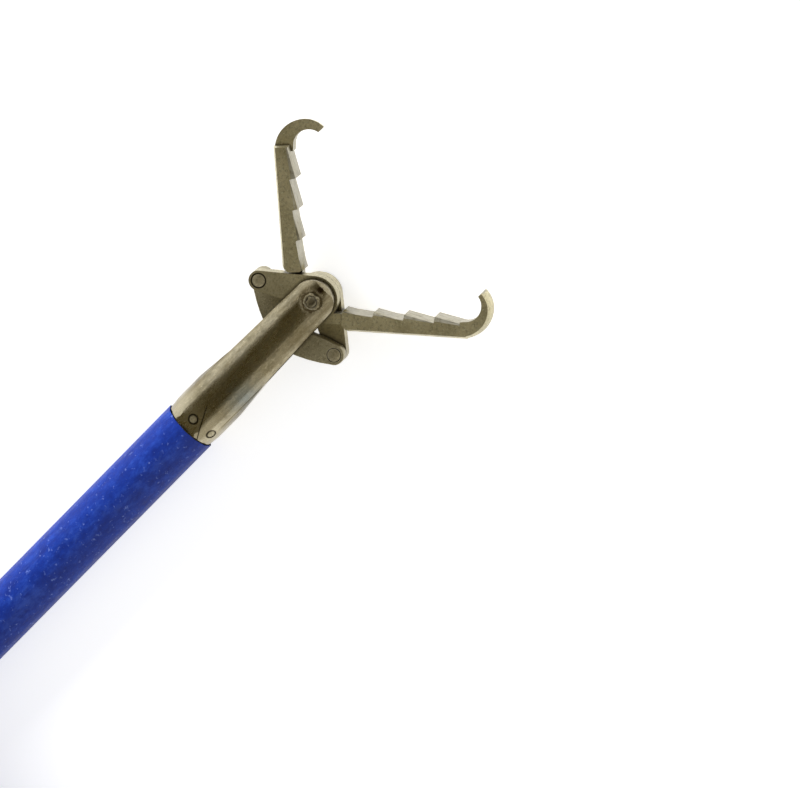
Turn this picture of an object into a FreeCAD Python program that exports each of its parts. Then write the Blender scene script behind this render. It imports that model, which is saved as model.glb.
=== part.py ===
import FreeCAD, Part
import math
import os

from FreeCAD import Vector

# Flexible grasping forceps: crossing alligator jaws with hooked tips, worked by a rhombus of
# links and a pull wire in a long coated coil sheath, with a spool and thumb ring handle.
# Frame: +X runs along the tool towards the jaws, +Z is the axis of the jaw pivot, and the
# origin is on the axis at the back face of the clevis. The tool lies on the plane z = -1.15.
# The jaws are drawn open, as they rest. Millimetres and degrees.

# Sheath: a plastic coated coil, with its long unused part folded into a hank
SHEATH_OD = 2.3
SHEATH_BORE = 1.76
SHEATH_END_GAP = 0.12
SHEATH_OPEN_DEPTH = 8.0
TIP_RUN = 14.5
HANK_STRAIGHT = 34.6
HANK_LEAD_IN = 16.0
HANK_LEAD_OUT = 16.0
HANK_FOLD_RADIUS = 14.2
HANK_PITCH = 2.4
HANK_COLUMNS = 4
HANK_LAYERS = 3
HUMP_HEIGHT = 2.6
HUMP_HALF_WIDTH = 12.0
TIE_WIDTH = 6.0
TIE_THICKNESS = 0.45
TIE_CLEARANCE = 0.05

# Clevis: a turned tube, slotted into two ears
CLEVIS_OD = 2.28
PIVOT_FROM_BASE = 7.5
EAR_RADIUS = 0.85
CLEVIS_SHOULDER = 1.7
CLEVIS_WAIST = 1.94
EAR_SLOT_START = 3.5
POCKET_HALF_WIDTH = 0.76
EAR_EDGE = 0.14
BASE_ROUND = 0.05
BASE_ROUND_LENGTH = 0.45
CRIMP_FLAT_DEPTH = 0.145
CRIMP_FLAT_LENGTH = 1.9
CRIMP_FLAT_TURN = 5.0

# Weld plugs that hold the clevis to the ferrule inside it
PLUG_RADIUS = 0.175
PLUG_FROM_BASE = 0.53
PLUG_TURNS = (5.0, -50.0)
PLUG_SINK = 0.03

# Jaw and link plates lie in two layers between the ears
PLATE_THICKNESS = 0.56
PLATE_GAP = 0.02
RUNNING_CLEARANCE = 0.02

# Linkage: tails and links are equally long, so they make a rhombus
TAIL_LENGTH = 2.38
EYE_RADIUS = 0.41
EYE_CLEARANCE = 0.1
JAW_SWING = 52.0
LINK_WAIST = 1.06
PIVOT_PIN_RADIUS = 0.33
TAIL_PIN_RADIUS = 0.27
DRIVE_PIN_RADIUS = 0.25
OPEN_PIVOT_CLEARANCE = 0.03
PIVOT_DISH_RADIUS = 0.24
PIVOT_DISH_DEPTH = 0.12

# Jaw, drawn closed with its pivot at the origin and its arm along +X, under the mating line
HUB_RADIUS = 0.95
ARM_SET = 4.0
ARM_RADIUS = 1.28
ARM_HALF_WIDTH = 0.62
ARM_START = 1.14
ARM_END = 6.2
ARM_ROOT_CHAMFER = 0.15
ARM_FRONT = 0.52
ARM_TAPER = 0.17
ARM_STEP = 0.08
NECK_OVERLAP = 0.1
TOOTH_SETBACK = 0.39
TOOTH_HEIGHT = 0.25
TOOTH_PITCH = 1.245
TOOTH_START = 1.14
TOOTH_COUNT = 4
TOOTH_LEAN = 0.04
TOOTH_WIDTH = 1.12
TOOTH_BACK = 0.9
HOOK_REACH = 7.22
HOOK_TIP_RADIUS = 1.05
HOOK_TIP_TURN = 49.0
HOOK_INSET = 0.75
THROAT_RADIUS = 0.66
THROAT_X = 6.13
THROAT_Y = 0.15

# Drive rod, which slides in the clevis and pulls both links
TONGUE_THICKNESS = 0.30
TONGUE_RECESS_RADIUS = 0.55
TONGUE_RADIUS = 0.36
TONGUE_LENGTH = 0.85
TONGUE_OVERLAP = 0.2
ROD_RADIUS = 0.55
ROD_LENGTH = 1.7
ROD_BORE_CLEARANCE = 0.05
SLOT_END_CLEARANCE = 0.15
WIRE_RADIUS = 0.30
WIRE_SOCKET = 0.9
DISTAL_WIRE_REACH = 6.0

# Ferrule and coil inside the sheath
FERRULE_DEPTH = 1.7
FERRULE_WALL = 0.20
FERRULE_TAIL = 2.0
COIL_WIRE = 0.34
COIL_GROOVE = 0.09
COIL_PITCH = 0.46
COIL_TURNS = 2
COIL_CLEARANCE = 0.02

# Handle, measured back from the tip of the strain relief
HANDLE_FROM_BASE = 92.0
RELIEF_LENGTH = 19.0
RELIEF_TIP_RADIUS = 1.9
RELIEF_ROOT_RADIUS = 3.1
RELIEF_FLANGE = 2.0
RELIEF_SLOTS = 3
RELIEF_SLOT_START = 3.4
RELIEF_SLOT_PITCH = 2.8
RELIEF_SLOT_WIDTH = 1.3
RELIEF_SLOT_WALL = 0.45
SEAT_RADIUS = 3.6
SLEEVE_RADIUS = 1.9
SLEEVE_LENGTH = 7.0
SHEATH_SEAT = 5.0
FERRULE_FLANGE = 2.0
WIRE_PASSAGE = 0.5
NOSE_LENGTH = 14.0
NOSE_LIP = 1.0
NOSE_FRONT_RADIUS = 4.3
NOSE_RADIUS = 5.95
NOSE_TAPER = 7.0
NOSE_FLATS = 6
NOSE_FLAT_DEPTH = 0.45
NOSE_FLAT_LENGTH = 6.0
BARREL_RADIUS = 4.2
BARREL_BORE = 2.2
BARREL_LENGTH = 72.0
BARREL_SLOT_START = 20.0
BARREL_SLOT_LENGTH = 40.0
BARREL_SLOT_WIDTH = 3.0
COLLAR_LENGTH = 8.0
COLLAR_RADIUS = 5.95
COLLAR_EDGE = 0.8
BUSH_LENGTH = 6.0
BUSH_SETBACK = 3.0

# Spool, which slides on the barrel with the wire clamp in it
SPOOL_LENGTH = 30.0
SPOOL_FRONT = 5.0
SPOOL_WIDTH = 27.0
SPOOL_HALF_HEIGHT = 5.65
SPOOL_WAIST = 16.4
SPOOL_RIM = 4.0
SPOOL_CHAMFER = 1.2
SPOOL_CLEARANCE = 0.05
BLOCK_LENGTH = 10.0
BLOCK_HALF_HEIGHT = 4.8
BLOCK_SIDE_CLEARANCE = 0.05
CLAMP_SCREW_RADIUS = 0.9
CLAMP_SCREW_LENGTH = 3.2
CLAMP_SCREW_START = 0.4
CLAMP_SOCKET_RADIUS = 0.45
CLAMP_SOCKET_DEPTH = 0.8
HYPOTUBE_RADIUS = 0.8
HYPOTUBE_FRONT = 5.5
WIRE_IN_HYPOTUBE = 16.0
PROXIMAL_WIRE_FRONT = 0.5

# Thumb ring
RING_HOLE_RADIUS = 10.75
RING_BAND = 3.75
RING_THICKNESS = 6.4
RING_NECK_HALF_WIDTH = 3.4
RING_NECK_HALF_HEIGHT = 2.4
RING_NECK_LENGTH = 3.5
RING_PLUG_LENGTH = 8.0

# How far a cutting shape overruns what it cuts
CUT_MARGIN = 1.0
HALF_TURN = 180.0

X_AXIS = Vector(1, 0, 0)
Z_AXIS = Vector(0, 0, 1)
ORIGIN = Vector(0, 0, 0)

# Sizes that follow from the ones above
sheath_radius = SHEATH_OD / 2
floor_z = -sheath_radius
clevis_radius = CLEVIS_OD / 2
layer_low = PLATE_GAP / 2
layer_high = layer_low + PLATE_THICKNESS
slot_half = layer_high + PLATE_GAP
pivot = Vector(PIVOT_FROM_BASE, 0, 0)
closed_tail_turn = math.degrees(math.asin((EYE_RADIUS + EYE_CLEARANCE / 2) / TAIL_LENGTH))
open_tail_turn = closed_tail_turn + JAW_SWING
drive_open = 2 * TAIL_LENGTH * math.cos(math.radians(open_tail_turn))
drive_closed = 2 * TAIL_LENGTH * math.cos(math.radians(closed_tail_turn))
wire_travel = drive_closed - drive_open
slot_root = PIVOT_FROM_BASE - drive_closed - EYE_RADIUS - SLOT_END_CLEARANCE
rod_bore = ROD_RADIUS + ROD_BORE_CLEARANCE
ferrule_radius = rod_bore + FERRULE_WALL
coil_radius = SHEATH_BORE / 2 - COIL_CLEARANCE
hank_front = -(TIP_RUN + HANK_LEAD_IN)
hank_back = hank_front - HANK_STRAIGHT
handle_axis_z = HANK_PITCH * (HANK_LAYERS - 1)


def around_x(radius, x_start, x_end):
    """Round bar on the X axis."""
    low = min(x_start, x_end)
    return Part.makeCylinder(radius, abs(x_end - x_start), Vector(low, 0, 0), X_AXIS)


def tube(outer, inner, x_start, x_end):
    """Round tube on the X axis."""
    low = min(x_start, x_end)
    high = max(x_start, x_end)
    return around_x(outer, low, high).cut(around_x(inner, low - CUT_MARGIN, high + CUT_MARGIN))


def block(x_start, x_end, y_half, z_low, z_high):
    """Box that is centred on y = 0."""
    corner = Vector(min(x_start, x_end), -y_half, z_low)
    return Part.makeBox(abs(x_end - x_start), 2 * y_half, z_high - z_low, corner)


def pin(radius, z_low, z_high, centre=ORIGIN):
    """Round bar along Z."""
    return Part.makeCylinder(radius, z_high - z_low, Vector(centre.x, centre.y, z_low), Z_AXIS)


def outline(start, *steps):
    """Closed face in the plane z = 0. A step is the next point, or an arc as (mid, end)."""
    edges = []
    here = start
    for step in steps + (start,):
        if isinstance(step, tuple):
            edges.append(Part.Arc(here, step[0], step[1]).toShape())
            here = step[1]
        elif (step - here).Length > 1e-7:
            edges.append(Part.LineSegment(here, step).toShape())
            here = step
    return Part.Face(Part.Wire(edges))


def slab(face, z_low, z_high):
    """Flat face raised into a plate between two heights."""
    plate = face.extrude(Vector(0, 0, z_high - z_low))
    plate.translate(Vector(0, 0, z_low))
    return plate


def revolved(profile):
    """Solid of revolution about X from (x, radius) points."""
    points = [Vector(x, 0, radius) for x, radius in profile]
    wire = Part.makePolygon(points + [points[0]])
    return Part.Face(wire).revolve(ORIGIN, X_AXIS, 2 * HALF_TURN)


def fused(first, *others):
    """One clean solid from overlapping pieces."""
    return first.fuse(list(others)).removeSplitter()


def polar(radius, turn):
    return Vector(radius * math.cos(math.radians(turn)), radius * math.sin(math.radians(turn)), 0)


def placed_at_pivot(shape, turn):
    """Copy of a shape drawn about the pivot, turned about it and moved to its place."""
    copy = shape.copy()
    copy.rotate(ORIGIN, Z_AXIS, turn)
    copy.translate(pivot)
    return copy


def turned_over(shape):
    """Copy turned by half a turn about X, from the upper layer to the lower one."""
    copy = shape.copy()
    copy.rotate(ORIGIN, X_AXIS, HALF_TURN)
    return copy


def on_handle(shape):
    """Copy moved from the X axis to the axis of the handle."""
    copy = shape.copy()
    copy.translate(Vector(-HANDLE_FROM_BASE, 0, handle_axis_z))
    return copy


# Clevis

def clevis_side_outline():
    """Clevis seen from above: full width at the base, a slight taper, and round ears."""
    waist = CLEVIS_WAIST / 2
    tip = PIVOT_FROM_BASE + EAR_RADIUS
    return outline(
        Vector(-CUT_MARGIN, -clevis_radius, 0),
        Vector(CLEVIS_SHOULDER, -clevis_radius, 0),
        Vector(EAR_SLOT_START, -waist, 0),
        Vector(PIVOT_FROM_BASE, -EAR_RADIUS, 0),
        (Vector(tip, 0, 0), Vector(PIVOT_FROM_BASE, EAR_RADIUS, 0)),
        Vector(EAR_SLOT_START, waist, 0),
        Vector(CLEVIS_SHOULDER, clevis_radius, 0),
        Vector(-CUT_MARGIN, clevis_radius, 0),
    )


def crimp_flat(turn):
    """Wedge that leaves a tapering flat on the back of the clevis."""
    side = -clevis_radius
    top = clevis_radius + CUT_MARGIN
    profile = [
        Vector(0, side, clevis_radius - CRIMP_FLAT_DEPTH),
        Vector(CRIMP_FLAT_LENGTH, side, clevis_radius),
        Vector(CRIMP_FLAT_LENGTH, side, top),
        Vector(0, side, top),
    ]
    wedge = Part.Face(Part.makePolygon(profile + [profile[0]])).extrude(Vector(0, CLEVIS_OD, 0))
    wedge.rotate(ORIGIN, X_AXIS, -turn)
    return wedge


def radial(shape, turn):
    """Copy of a shape that stands on +Z, turned about X towards +Y and set at the plugs."""
    copy = shape.copy()
    copy.translate(Vector(PLUG_FROM_BASE, 0, 0))
    copy.rotate(ORIGIN, X_AXIS, -turn)
    return copy


def plug_floor(turn):
    """Height of the clevis surface over the axis where a plug stands."""
    on_flat = abs(turn - CRIMP_FLAT_TURN) % HALF_TURN < 1
    slope = CRIMP_FLAT_DEPTH / CRIMP_FLAT_LENGTH
    return clevis_radius - (CRIMP_FLAT_DEPTH - slope * PLUG_FROM_BASE if on_flat else 0)


def make_clevis():
    ear_end = PIVOT_FROM_BASE + EAR_RADIUS
    profile = [(0, 0), (0, clevis_radius - BASE_ROUND), (BASE_ROUND_LENGTH, clevis_radius),
               (ear_end - EAR_EDGE, clevis_radius), (ear_end, clevis_radius - EAR_EDGE),
               (ear_end, 0)]
    body = revolved(profile).common(
        slab(clevis_side_outline(), -CLEVIS_OD, CLEVIS_OD))
    body = body.cut(block(EAR_SLOT_START, ear_end + CUT_MARGIN, CLEVIS_OD, -slot_half, slot_half))
    body = body.cut(block(slot_root, ear_end, POCKET_HALF_WIDTH, -slot_half, slot_half))
    body = body.cut(around_x(ferrule_radius, -CUT_MARGIN, FERRULE_DEPTH))
    body = body.cut(around_x(rod_bore, -CUT_MARGIN, slot_root + CUT_MARGIN))
    body = body.cut(pin(PIVOT_PIN_RADIUS, -CLEVIS_OD, CLEVIS_OD, pivot))
    for turn in (CRIMP_FLAT_TURN, CRIMP_FLAT_TURN + HALF_TURN):
        body = body.cut(crimp_flat(turn))
    for turn in PLUG_TURNS:
        body = body.cut(radial(Part.makeCylinder(PLUG_RADIUS, CLEVIS_OD, ORIGIN, Z_AXIS), turn))
    return body.removeSplitter()


def make_weld_plugs():
    plugs = []
    for turn in PLUG_TURNS:
        top = plug_floor(turn) - PLUG_SINK
        plug = Part.makeCylinder(PLUG_RADIUS, top, ORIGIN, Z_AXIS)
        plug = radial(plug, turn).cut(around_x(ferrule_radius, -CUT_MARGIN, FERRULE_DEPTH))
        plugs.append(plug)
    return Part.makeCompound(plugs)


def make_pivot_pin():
    """Pin through both ears, flush with them, with a welded dish in each end."""
    dish = Part.makeCone(0, PIVOT_DISH_RADIUS, PIVOT_DISH_DEPTH,
                         Vector(PIVOT_FROM_BASE, 0, clevis_radius - PIVOT_DISH_DEPTH), Z_AXIS)
    body = pin(PIVOT_PIN_RADIUS, -clevis_radius, clevis_radius, pivot)
    return body.cut(dish).cut(turned_over(dish))


# Jaws

def saw_face(start_y, low_root, low_tip, step):
    """Face between a straight back at start_y and a row of saw teeth on a sloping root line."""
    slope = (low_tip - low_root) / (ARM_END - ARM_START)
    last = TOOTH_START + TOOTH_COUNT * TOOTH_PITCH
    points = [Vector(ARM_START, start_y, 0), Vector(ARM_END, start_y, 0),
              Vector(ARM_END, low_tip, 0),
              Vector(last, low_root + slope * (last - ARM_START), 0)]
    for index in reversed(range(TOOTH_COUNT)):
        root = TOOTH_START + index * TOOTH_PITCH
        height = low_root + slope * (root - ARM_START)
        points.append(Vector(root + TOOTH_LEAN, height + step, 0))
        points.append(Vector(root, height, 0))
    points.append(Vector(ARM_START, low_root, 0))
    return outline(*points)


def hook_section(radius):
    """Cross-section of the hook at its lowest point, about an axis at the origin."""
    middle = ARM_HALF_WIDTH / 2
    drop = ARM_RADIUS - math.sqrt(ARM_RADIUS ** 2 - ARM_HALF_WIDTH ** 2)
    half_drop = ARM_RADIUS - math.sqrt(ARM_RADIUS ** 2 - middle ** 2)
    inside = -(radius - HOOK_INSET)
    low = layer_low + PLATE_GAP / 2
    curve = Part.Arc(Vector(0, -radius, low), Vector(0, half_drop - radius, middle),
                     Vector(0, drop - radius, ARM_HALF_WIDTH)).toShape()
    sides = Part.makePolygon([Vector(0, drop - radius, ARM_HALF_WIDTH),
                              Vector(0, inside, ARM_HALF_WIDTH),
                              Vector(0, inside, low), Vector(0, -radius, low)])
    return Part.Face(Part.Wire([curve] + sides.Edges))


def make_hook():
    """Two arcs of the arm's own section, with a round throat cut on the inside."""
    first_radius = ARM_RADIUS
    first_centre = Vector(HOOK_REACH - first_radius, 0, 0)
    quarter = hook_section(first_radius).revolve(ORIGIN, Z_AXIS, 90)
    quarter.translate(first_centre)
    tip = hook_section(HOOK_TIP_RADIUS)
    tip.rotate(ORIGIN, Z_AXIS, 90)
    tip = tip.revolve(ORIGIN, Z_AXIS, HOOK_TIP_TURN)
    tip.translate(Vector(HOOK_REACH - HOOK_TIP_RADIUS, 0, 0))
    return fused(quarter, tip)


def make_arm():
    """Arm, teeth and hook along +X, before the arm is set in towards the mating line."""
    bar = slab(saw_face(-ARM_RADIUS - CUT_MARGIN, -ARM_FRONT, -ARM_FRONT - ARM_TAPER, ARM_STEP),
               -ARM_HALF_WIDTH, ARM_HALF_WIDTH)
    bar = bar.common(around_x(ARM_RADIUS, 0, HOOK_REACH))
    corner = Vector(ARM_START, -ARM_RADIUS, 0)
    corner_cut = outline(corner, corner + Vector(2 * ARM_ROOT_CHAMFER, 0, 0),
                         corner + Vector(0, 2 * ARM_ROOT_CHAMFER, 0))
    bar = bar.cut(slab(corner_cut, -ARM_RADIUS, ARM_RADIUS))
    root = -TOOTH_SETBACK - TOOTH_HEIGHT
    teeth = slab(saw_face(-TOOTH_BACK, root, root, TOOTH_HEIGHT),
                 -TOOTH_WIDTH / 2, TOOTH_WIDTH / 2)
    arm = fused(bar, teeth, make_hook())
    return arm.cut(pin(THROAT_RADIUS, -ARM_RADIUS, ARM_RADIUS, Vector(THROAT_X, THROAT_Y, 0)))


def make_jaw():
    """Jaw of the upper layer, closed, with its pivot at the origin."""
    eye = polar(TAIL_LENGTH, HALF_TURN - closed_tail_turn)
    along = polar(1, HALF_TURN - closed_tail_turn)
    inner = Vector(-along.y, along.x, 0)
    flare = math.degrees(math.asin((HUB_RADIUS - EYE_RADIUS) / TAIL_LENGTH))
    outer_turn = 90 - closed_tail_turn + flare
    tail = outline(
        polar(HUB_RADIUS, outer_turn),
        eye + polar(EYE_RADIUS, outer_turn),
        (eye + along * EYE_RADIUS, eye + inner * EYE_RADIUS),
        inner * EYE_RADIUS,
    )
    neck_end = ARM_START + NECK_OVERLAP
    neck = outline(
        Vector(0, 0, 0),
        Vector(0, -HUB_RADIUS, 0),
        Vector(neck_end, -HUB_RADIUS, 0),
        Vector(neck_end, -ARM_FRONT, 0),
        polar(HUB_RADIUS, -math.degrees(math.asin(ARM_FRONT / HUB_RADIUS))),
    )
    arm = make_arm().fuse(slab(neck, layer_low, layer_high))
    arm.rotate(ORIGIN, Z_AXIS, ARM_SET)
    jaw = fused(pin(HUB_RADIUS, layer_low, layer_high), slab(tail, layer_low, layer_high), arm)
    jaw = jaw.cut(pin(PIVOT_PIN_RADIUS + RUNNING_CLEARANCE, -CUT_MARGIN, CUT_MARGIN))
    return jaw.cut(pin(TAIL_PIN_RADIUS, -CUT_MARGIN, CUT_MARGIN, eye)).removeSplitter()


def make_tail_pin():
    """Rivet in the eye of a jaw's tail, which the other layer's link turns on."""
    eye = polar(TAIL_LENGTH, HALF_TURN - closed_tail_turn)
    return pin(TAIL_PIN_RADIUS, -layer_high, layer_high, eye)


# Links

def make_link(clearance):
    """Link of the upper layer, from its tail pin at the origin to the drive pin on +X."""
    half_waist = LINK_WAIST / 2
    middle = TAIL_LENGTH / 2
    drive_eye = Vector(TAIL_LENGTH, 0, 0)
    face = outline(
        Vector(0, EYE_RADIUS, 0),
        (Vector(-EYE_RADIUS, 0, 0), Vector(0, -EYE_RADIUS, 0)),
        (Vector(middle, -half_waist, 0), drive_eye + Vector(0, -EYE_RADIUS, 0)),
        (drive_eye + Vector(EYE_RADIUS, 0, 0), drive_eye + Vector(0, EYE_RADIUS, 0)),
        (Vector(middle, half_waist, 0), Vector(0, EYE_RADIUS, 0)),
    )
    link = slab(face, layer_low, layer_high)
    tongue_top = TONGUE_THICKNESS / 2 + PLATE_GAP
    link = link.cut(pin(TONGUE_RECESS_RADIUS, -CUT_MARGIN, tongue_top, drive_eye))
    link = link.cut(pin(DRIVE_PIN_RADIUS + clearance, -CUT_MARGIN, CUT_MARGIN, drive_eye))
    tail_hole = pin(TAIL_PIN_RADIUS + RUNNING_CLEARANCE, -CUT_MARGIN, CUT_MARGIN)
    return link.cut(tail_hole).removeSplitter()


def placed_link(link, upper):
    """Link between a tail pin and the drive pin, as the open jaws hold it."""
    side = -1 if upper else 1
    start = polar(TAIL_LENGTH, HALF_TURN - side * open_tail_turn)
    heading = side * open_tail_turn - HALF_TURN
    copy = link.copy() if upper else turned_over(link)
    copy.rotate(ORIGIN, Z_AXIS, heading)
    copy.translate(start + pivot)
    return copy


# Drive rod and wire, with the drive pin at the origin

def make_drive_rod():
    half = TONGUE_THICKNESS / 2
    tongue = outline(
        Vector(0, TONGUE_RADIUS, 0),
        Vector(-TONGUE_LENGTH - TONGUE_OVERLAP, TONGUE_RADIUS, 0),
        Vector(-TONGUE_LENGTH - TONGUE_OVERLAP, -TONGUE_RADIUS, 0),
        Vector(0, -TONGUE_RADIUS, 0),
        (Vector(TONGUE_RADIUS, 0, 0), Vector(0, TONGUE_RADIUS, 0)),
    )
    rear = -TONGUE_LENGTH - ROD_LENGTH
    rod = fused(around_x(ROD_RADIUS, -TONGUE_LENGTH, rear), slab(tongue, -half, half))
    rod = rod.cut(around_x(WIRE_RADIUS, rear - CUT_MARGIN, rear + WIRE_SOCKET))
    return rod.cut(pin(DRIVE_PIN_RADIUS, -CUT_MARGIN, CUT_MARGIN))


def make_distal_wire():
    rear = -TONGUE_LENGTH - ROD_LENGTH
    return around_x(WIRE_RADIUS, rear + WIRE_SOCKET, rear - DISTAL_WIRE_REACH)


def placed_drive(shape):
    copy = shape.copy()
    copy.translate(pivot - Vector(drive_open, 0, 0))
    return copy


# Ferrule, coil and sheath

def make_coil_ferrule():
    """Stepped sleeve, in the clevis at the front and in the sheath behind."""
    body = fused(around_x(ferrule_radius, -FERRULE_TAIL, FERRULE_DEPTH),
                 around_x(coil_radius, -FERRULE_TAIL, 0))
    return body.cut(around_x(rod_bore, -FERRULE_TAIL - CUT_MARGIN, FERRULE_DEPTH + CUT_MARGIN))


def make_spring_coil():
    """Close-wound coil, each turn highest in its middle, with a groove before the next."""
    start = -FERRULE_TAIL
    profile = [(start, coil_radius - COIL_WIRE), (start, coil_radius - COIL_GROOVE)]
    for turn in range(COIL_TURNS):
        profile.append((start - (turn + 0.5) * COIL_PITCH, coil_radius))
        profile.append((start - (turn + 1) * COIL_PITCH, coil_radius - COIL_GROOVE))
    profile.append((start - COIL_TURNS * COIL_PITCH, coil_radius - COIL_WIRE))
    return revolved(profile)


def make_sheath_tip_run():
    tip = -SHEATH_END_GAP
    return around_x(sheath_radius, tip, -TIP_RUN).cut(
        around_x(SHEATH_BORE / 2, CUT_MARGIN, -SHEATH_OPEN_DEPTH))


def racetrack(radius, x_front, x_back):
    """Stadium outline round the X axis with its straight sides along it."""
    return outline(
        Vector(x_front, -radius, 0),
        (Vector(x_front + radius, 0, 0), Vector(x_front, radius, 0)),
        Vector(x_back, radius, 0),
        (Vector(x_back - radius, 0, 0), Vector(x_back, -radius, 0)),
    )


def hank_top():
    return floor_z + HANK_PITCH * (HANK_LAYERS - 1) + SHEATH_OD


def tie_middle():
    return (hank_front + hank_back) / 2


def fold_hump(x_start, x_end):
    """Low vault over the folds, where they cross the strand that enters or leaves the hank."""
    radius = (HUMP_HALF_WIDTH ** 2 + HUMP_HEIGHT ** 2) / (2 * HUMP_HEIGHT)
    vault = around_x(radius, x_start, x_end)
    vault.translate(Vector(0, 0, hank_top() + HUMP_HEIGHT - radius))
    return vault


def make_sheath_hank():
    """Outer shape of the folded sheath, which humps over the strap that ties it."""
    outer = HANK_FOLD_RADIUS + sheath_radius
    inner = HANK_FOLD_RADIUS - HANK_PITCH * (HANK_COLUMNS - 1) - sheath_radius
    ring = slab(racetrack(outer, hank_front, hank_back), floor_z, hank_top())
    room = slab(racetrack(outer, hank_front, hank_back), floor_z, hank_top() + HUMP_HEIGHT)
    humps = [fold_hump(hank_front, hank_front + outer).common(room),
             fold_hump(hank_back, hank_back - outer).common(room)]
    over_strap = Part.makeBox(TIE_WIDTH, 2 * outer, hank_top() - floor_z,
                              Vector(tie_middle() - TIE_WIDTH / 2, -outer,
                                     floor_z + TIE_THICKNESS))
    strap_way = Part.makeBox(TIE_WIDTH, 2 * outer, TIE_THICKNESS,
                             Vector(tie_middle() - TIE_WIDTH / 2, -outer, floor_z))
    hole = slab(racetrack(inner, hank_front, hank_back), floor_z - CUT_MARGIN,
                hank_top() + HUMP_HEIGHT + CUT_MARGIN)
    lead_in = around_x(sheath_radius, -TIP_RUN, hank_front + inner)
    lead_out = around_x(sheath_radius, hank_back - inner, hank_back - HANK_LEAD_OUT)
    lead_out.translate(Vector(0, 0, handle_axis_z))
    folded = fused(ring, over_strap, *humps).cut(strap_way)
    return fused(folded, lead_in, lead_out).cut(hole).removeSplitter()


def make_hank_tie():
    """Hook and loop strap round the waist of the hank."""
    outer = HANK_FOLD_RADIUS + sheath_radius + TIE_CLEARANCE
    low = floor_z
    high = hank_top() + 2 * TIE_THICKNESS + TIE_CLEARANCE
    x_low = tie_middle() - TIE_WIDTH / 2
    full = Part.makeBox(TIE_WIDTH, 2 * (outer + TIE_THICKNESS), high - low,
                        Vector(x_low, -outer - TIE_THICKNESS, low))
    corners = [edge for edge in full.Edges if abs(edge.tangentAt(0).x) > 0.9]
    full = full.makeFillet(2 * TIE_THICKNESS, corners)
    room = Part.makeBox(TIE_WIDTH + 2 * CUT_MARGIN, 2 * outer, high - low - 2 * TIE_THICKNESS,
                        Vector(x_low - CUT_MARGIN, -outer, low + TIE_THICKNESS))
    return full.cut(room)


# Handle, built on the X axis with the tip of its strain relief at the origin

seat_front = RELIEF_LENGTH - RELIEF_FLANGE
flange_back = RELIEF_LENGTH
ferrule_back = flange_back + FERRULE_FLANGE
nose_front = RELIEF_LENGTH - RELIEF_FLANGE - NOSE_LIP
nose_back = nose_front + NOSE_LENGTH
barrel_back = nose_back + BARREL_LENGTH
slot_front = nose_back + BARREL_SLOT_START
spool_front = slot_front + SPOOL_FRONT
spool_middle = spool_front + SPOOL_LENGTH / 2
block_front = spool_middle - BLOCK_LENGTH / 2
ring_centre = barrel_back + RING_NECK_LENGTH + RING_HOLE_RADIUS + RING_BAND
sheath_end = flange_back - SLEEVE_LENGTH + SHEATH_SEAT


def make_sheath_handle_run():
    start = hank_back - HANK_LEAD_OUT
    run = around_x(sheath_radius, start, -HANDLE_FROM_BASE - sheath_end)
    run.translate(Vector(0, 0, handle_axis_z))
    return run


def make_strain_relief():
    """Tapered sleeve with crossed bending slots, over the crimped sleeve on the sheath."""
    sleeve_front = flange_back - SLEEVE_LENGTH
    body = revolved([(0, sheath_radius), (0, RELIEF_TIP_RADIUS),
                     (-seat_front, RELIEF_ROOT_RADIUS), (-seat_front, SEAT_RADIUS),
                     (-flange_back, SEAT_RADIUS), (-flange_back, SLEEVE_RADIUS),
                     (-sleeve_front, SLEEVE_RADIUS), (-sleeve_front, sheath_radius)])
    for index in range(RELIEF_SLOTS):
        front = -RELIEF_SLOT_START - index * RELIEF_SLOT_PITCH
        slot = block(front, front - RELIEF_SLOT_WIDTH, RELIEF_ROOT_RADIUS,
                     sheath_radius + RELIEF_SLOT_WALL, RELIEF_ROOT_RADIUS)
        slot.rotate(ORIGIN, X_AXIS, index * HALF_TURN / 2)
        body = body.cut(slot).cut(turned_over(slot))
    return body


def make_sheath_ferrule():
    """Crimped sleeve on the end of the sheath, with a flange that the nose cap traps."""
    body = fused(around_x(SLEEVE_RADIUS, -flange_back + SLEEVE_LENGTH, -flange_back),
                 around_x(SEAT_RADIUS, -flange_back, -ferrule_back))
    body = body.cut(around_x(sheath_radius, -flange_back + SLEEVE_LENGTH + CUT_MARGIN,
                             -sheath_end))
    return body.cut(around_x(WIRE_PASSAGE, -sheath_end + CUT_MARGIN,
                             -ferrule_back - CUT_MARGIN))


def make_nose_cap():
    cap = revolved([(-nose_front, RELIEF_ROOT_RADIUS), (-nose_front, NOSE_FRONT_RADIUS),
                    (-nose_front - NOSE_TAPER, NOSE_RADIUS), (-nose_back, NOSE_RADIUS),
                    (-nose_back, SEAT_RADIUS), (-seat_front, SEAT_RADIUS),
                    (-seat_front, RELIEF_ROOT_RADIUS)])
    for index in range(NOSE_FLATS):
        flat = block(-nose_back + NOSE_FLAT_LENGTH, -nose_back - CUT_MARGIN, NOSE_RADIUS,
                     NOSE_RADIUS - NOSE_FLAT_DEPTH, NOSE_RADIUS + CUT_MARGIN)
        flat.rotate(ORIGIN, X_AXIS, 2 * HALF_TURN * index / NOSE_FLATS)
        cap = cap.cut(flat)
    return cap


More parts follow.
